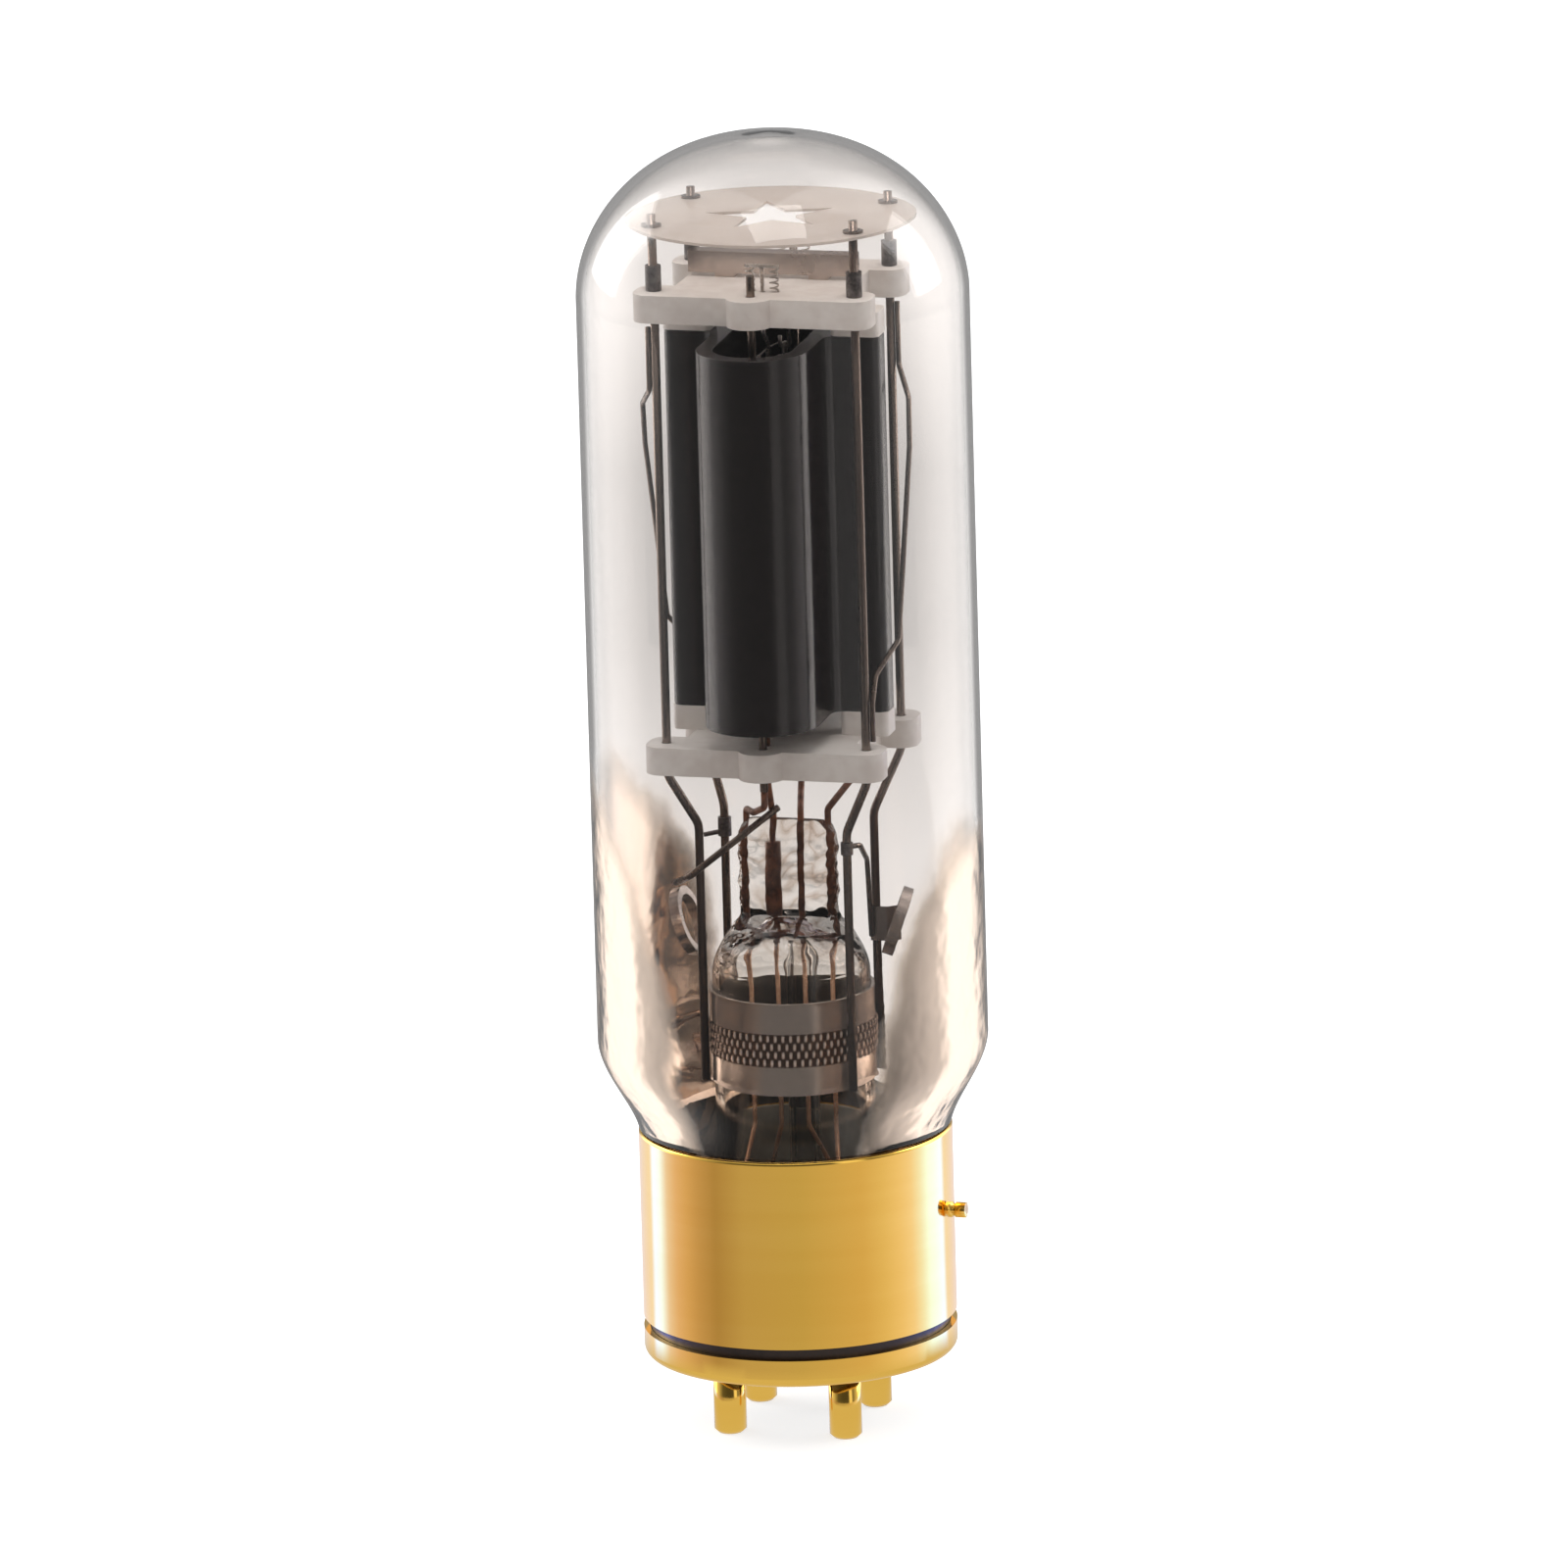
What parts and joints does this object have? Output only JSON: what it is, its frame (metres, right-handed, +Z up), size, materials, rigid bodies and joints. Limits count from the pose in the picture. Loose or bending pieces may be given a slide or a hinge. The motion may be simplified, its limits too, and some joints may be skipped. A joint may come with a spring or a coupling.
{
  "type": "power triode tube",
  "caption": "Tall glass power triode tube with a finned graphite anode held between ceramic plates, standing on the contact pins of its gold bayonet base",
  "frame": {"origin": "centre of the square of contact pins, in the plane of their tips, which the tube stands on", "axes": "+Z up along the bulb's axis; +X along the ceramic plates and out through the bayonet pin; the picture's front is -Y"},
  "size_m": [0.0572, 0.0572, 0.1935],
  "materials": {
    "bulb_glass": "clear blown glass, smoked and mirrored by the getter low down",
    "stem_glass": "clear lead glass, pinched and rippled at the press",
    "gold_plate": "polished gold plate",
    "base_insulator": "dark moulded insulator",
    "base_cement": "baked cement",
    "copper_lead": "tinned copper wire",
    "seal_wire": "oxidised seal wire",
    "nickel_band": "nickel sheet, embossed in the middle",
    "plate_ceramic": "unglazed pressed ceramic",
    "mica": "split mica sheet",
    "graphite": "machined graphite",
    "fine_wire": "drawn wire",
    "dark_metal": "oxidised metal",
    "nickel_sheet": "folded nickel sheet",
    "nickel_rod": "drawn nickel rod, dulled"
  },
  "bodies": {
    "root": {"glass_envelope": "bulb_glass", "base_shell": "gold_plate", "base_ring": "gold_plate", "base_wafer": "base_insulator", "base_cement": "base_cement", "bayonet_pin": "gold_plate", "contact_pin_1": "gold_plate", "contact_pin_2": "gold_plate", "contact_pin_3": "gold_plate", "contact_pin_4": "gold_plate", "stem_glass": "stem_glass", "stem_collar": "nickel_band", "grid_lead": "seal_wire", "filament_lead_front": "seal_wire", "filament_lead_rear": "seal_wire", "anode_lead": "seal_wire", "pin_lead_1": "copper_lead", "pin_lead_2": "copper_lead", "pin_lead_3": "copper_lead", "pin_lead_4": "copper_lead", "support_rod_1": "nickel_rod", "support_rod_2": "nickel_rod", "support_rod_3": "nickel_rod", "support_rod_4": "nickel_rod", "rod_sleeve_1": "dark_metal", "rod_sleeve_2": "dark_metal", "rod_sleeve_3": "dark_metal", "rod_sleeve_4": "dark_metal", "lower_ceramic_plate": "plate_ceramic", "upper_ceramic_plate": "plate_ceramic", "mica_disc": "mica", "mica_eyelets": "nickel_sheet", "top_bracket": "nickel_sheet", "anode": "graphite", "anode_tie_wire_left": "nickel_rod", "anode_tie_wire_right": "nickel_rod", "grid_rod_front": "nickel_rod", "grid_rod_rear": "nickel_rod", "grid_winding": "fine_wire", "filament": "fine_wire", "filament_post": "nickel_rod", "filament_hook_front": "nickel_rod", "filament_hook_rear": "nickel_rod", "filament_spring_1": "fine_wire", "filament_spring_2": "fine_wire", "filament_spring_3": "fine_wire", "filament_spring_4": "fine_wire", "rod_clamp_rear": "dark_metal", "rod_clamp_front": "dark_metal", "getter_arm_left": "nickel_rod", "getter_ring_left": "nickel_sheet", "getter_arm_right": "nickel_rod", "getter_strap_right": "dark_metal", "getter_ring_right": "nickel_sheet"}
  },
  "joints": []
}
